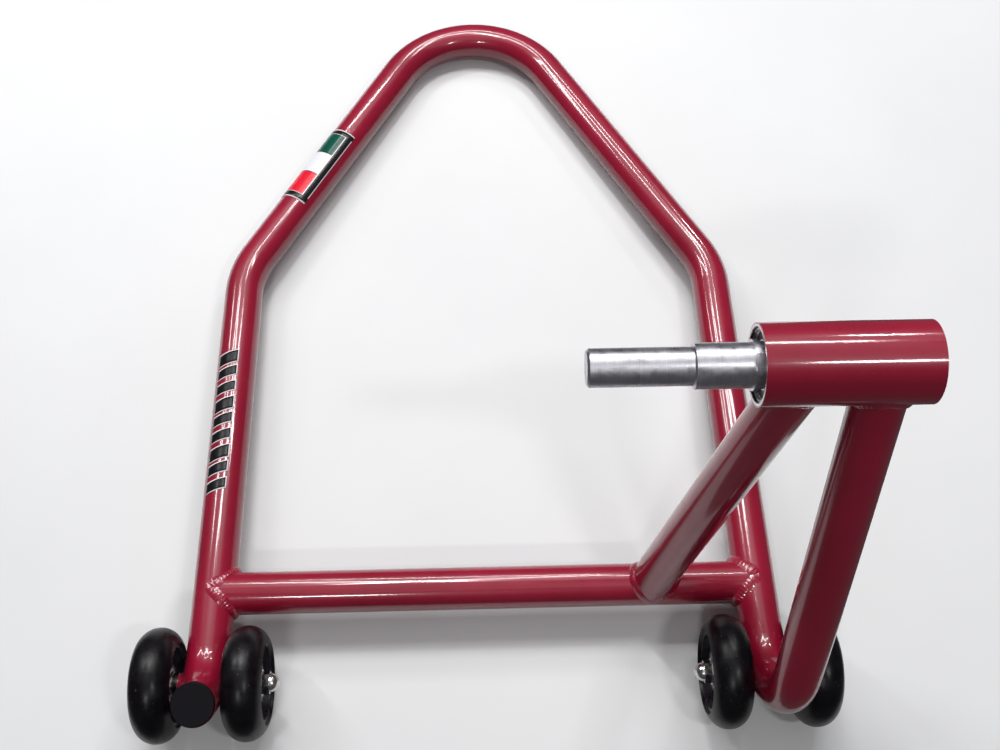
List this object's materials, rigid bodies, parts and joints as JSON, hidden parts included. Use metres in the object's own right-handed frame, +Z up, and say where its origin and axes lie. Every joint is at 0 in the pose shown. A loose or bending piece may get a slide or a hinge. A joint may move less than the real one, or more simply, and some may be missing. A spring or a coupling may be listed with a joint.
{
  "type": "motorcycle paddock stand",
  "caption": "Bent tube stand on paired wheels with a rounded handle loop and a raised sideways bearing housing whose stepped steel pin turns.",
  "frame": {"origin": "middle of the bounding box on the floor that the wheels and the handle loop stand on", "axes": "+X along the wheel axles and the lifting pin towards the housing's closed side, +Y from the wheels to the handle loop, +Z up"},
  "size_m": [0.557, 0.7483, 0.3891],
  "materials": {
    "red_paint": "gloss",
    "black_plastic": "satin",
    "tyre_rubber": "matte",
    "seal_rubber": "matte",
    "cage_steel": "satin",
    "bearing_steel": "polished",
    "pin_steel": "turned",
    "label_film": "gloss",
    "stripe_film": "gloss",
    "clip_steel": "satin",
    "zinc_steel": "satin",
    "spacer_steel": "satin"
  },
  "bodies": {
    "frame": {"handle_tube": "red_paint", "left_leg_tube": "red_paint", "right_leg_tube": "red_paint", "cross_tube": "red_paint", "brace_tube": "red_paint", "bearing_housing": "red_paint", "leg_end_plug": "black_plastic", "left_axle_sleeve": "red_paint", "right_axle_sleeve": "red_paint", "left_axle_bolt": "zinc_steel", "right_axle_bolt": "zinc_steel", "axle_nuts": "zinc_steel", "axle_washers": "zinc_steel", "wheel_spacers": "spacer_steel", "wheel_bearing_inner_rings": "bearing_steel", "wheel_bearing_sleeves": "spacer_steel", "pin_bearing_outer_rings": "bearing_steel", "pin_bearing_seals": "seal_rubber", "housing_circlips": "clip_steel", "tricolour_label": "label_film", "stripe_label": "stripe_film"},
    "lifting_pin_set": {"lifting_pin": "pin_steel", "pin_bearing_inner_rings": "bearing_steel", "pin_spacer_sleeve": "spacer_steel", "pin_retaining_washer": "zinc_steel", "pin_retaining_bolt": "zinc_steel"},
    "pin_ball_set": {"pin_bearing_balls": "bearing_steel", "pin_bearing_cages": "cage_steel"},
    "left_outer_wheel": {"left_outer_tyre": "tyre_rubber", "left_outer_hub": "black_plastic", "left_outer_bearing_rings": "bearing_steel", "left_outer_bearing_shields": "seal_rubber"},
    "left_outer_ball_set": {"left_outer_balls": "bearing_steel", "left_outer_ball_cages": "cage_steel"},
    "left_inner_wheel": {"left_inner_tyre": "tyre_rubber", "left_inner_hub": "black_plastic", "left_inner_bearing_rings": "bearing_steel", "left_inner_bearing_shields": "seal_rubber"},
    "left_inner_ball_set": {"left_inner_balls": "bearing_steel", "left_inner_ball_cages": "cage_steel"},
    "right_inner_wheel": {"right_inner_tyre": "tyre_rubber", "right_inner_hub": "black_plastic", "right_inner_bearing_rings": "bearing_steel", "right_inner_bearing_shields": "seal_rubber"},
    "right_inner_ball_set": {"right_inner_balls": "bearing_steel", "right_inner_ball_cages": "cage_steel"},
    "right_outer_wheel": {"right_outer_tyre": "tyre_rubber", "right_outer_hub": "black_plastic", "right_outer_bearing_rings": "bearing_steel", "right_outer_bearing_shields": "seal_rubber"},
    "right_outer_ball_set": {"right_outer_balls": "bearing_steel", "right_outer_ball_cages": "cage_steel"}
  },
  "joints": [
    {"name": "pin_spin", "type": "hinge", "parent": "frame", "child": "lifting_pin_set", "pos_m": [0.164, -0.21593, 0.3631], "axis": [1, 0, 0], "continuous": true},
    {"name": "pin_ball_spin", "type": "hinge", "parent": "frame", "child": "pin_ball_set", "pos_m": [0.164, -0.21593, 0.3631], "axis": [1, 0, 0], "continuous": true},
    {"name": "left_outer_wheel_spin", "type": "hinge", "parent": "frame", "child": "left_outer_wheel", "pos_m": [-0.2605, -0.32913, 0.045], "axis": [1, 0, 0], "continuous": true},
    {"name": "left_outer_ball_spin", "type": "hinge", "parent": "frame", "child": "left_outer_ball_set", "pos_m": [-0.2605, -0.32913, 0.045], "axis": [1, 0, 0], "continuous": true},
    {"name": "left_inner_wheel_spin", "type": "hinge", "parent": "frame", "child": "left_inner_wheel", "pos_m": [-0.1905, -0.32913, 0.045], "axis": [1, 0, 0], "continuous": true},
    {"name": "left_inner_ball_spin", "type": "hinge", "parent": "frame", "child": "left_inner_ball_set", "pos_m": [-0.1905, -0.32913, 0.045], "axis": [1, 0, 0], "continuous": true},
    {"name": "right_inner_wheel_spin", "type": "hinge", "parent": "frame", "child": "right_inner_wheel", "pos_m": [0.1905, -0.32913, 0.045], "axis": [1, 0, 0], "continuous": true},
    {"name": "right_inner_ball_spin", "type": "hinge", "parent": "frame", "child": "right_inner_ball_set", "pos_m": [0.1905, -0.32913, 0.045], "axis": [1, 0, 0], "continuous": true},
    {"name": "right_outer_wheel_spin", "type": "hinge", "parent": "frame", "child": "right_outer_wheel", "pos_m": [0.2605, -0.32913, 0.045], "axis": [1, 0, 0], "continuous": true},
    {"name": "right_outer_ball_spin", "type": "hinge", "parent": "frame", "child": "right_outer_ball_set", "pos_m": [0.2605, -0.32913, 0.045], "axis": [1, 0, 0], "continuous": true}
  ],
  "couplings": [
    {"joint": "pin_ball_spin", "follows": "pin_spin", "ratio": 0.4125},
    {"joint": "left_outer_ball_spin", "follows": "left_outer_wheel_spin", "ratio": 0.625},
    {"joint": "left_inner_ball_spin", "follows": "left_inner_wheel_spin", "ratio": 0.625},
    {"joint": "right_inner_ball_spin", "follows": "right_inner_wheel_spin", "ratio": 0.625},
    {"joint": "right_outer_ball_spin", "follows": "right_outer_wheel_spin", "ratio": 0.625}
  ]
}
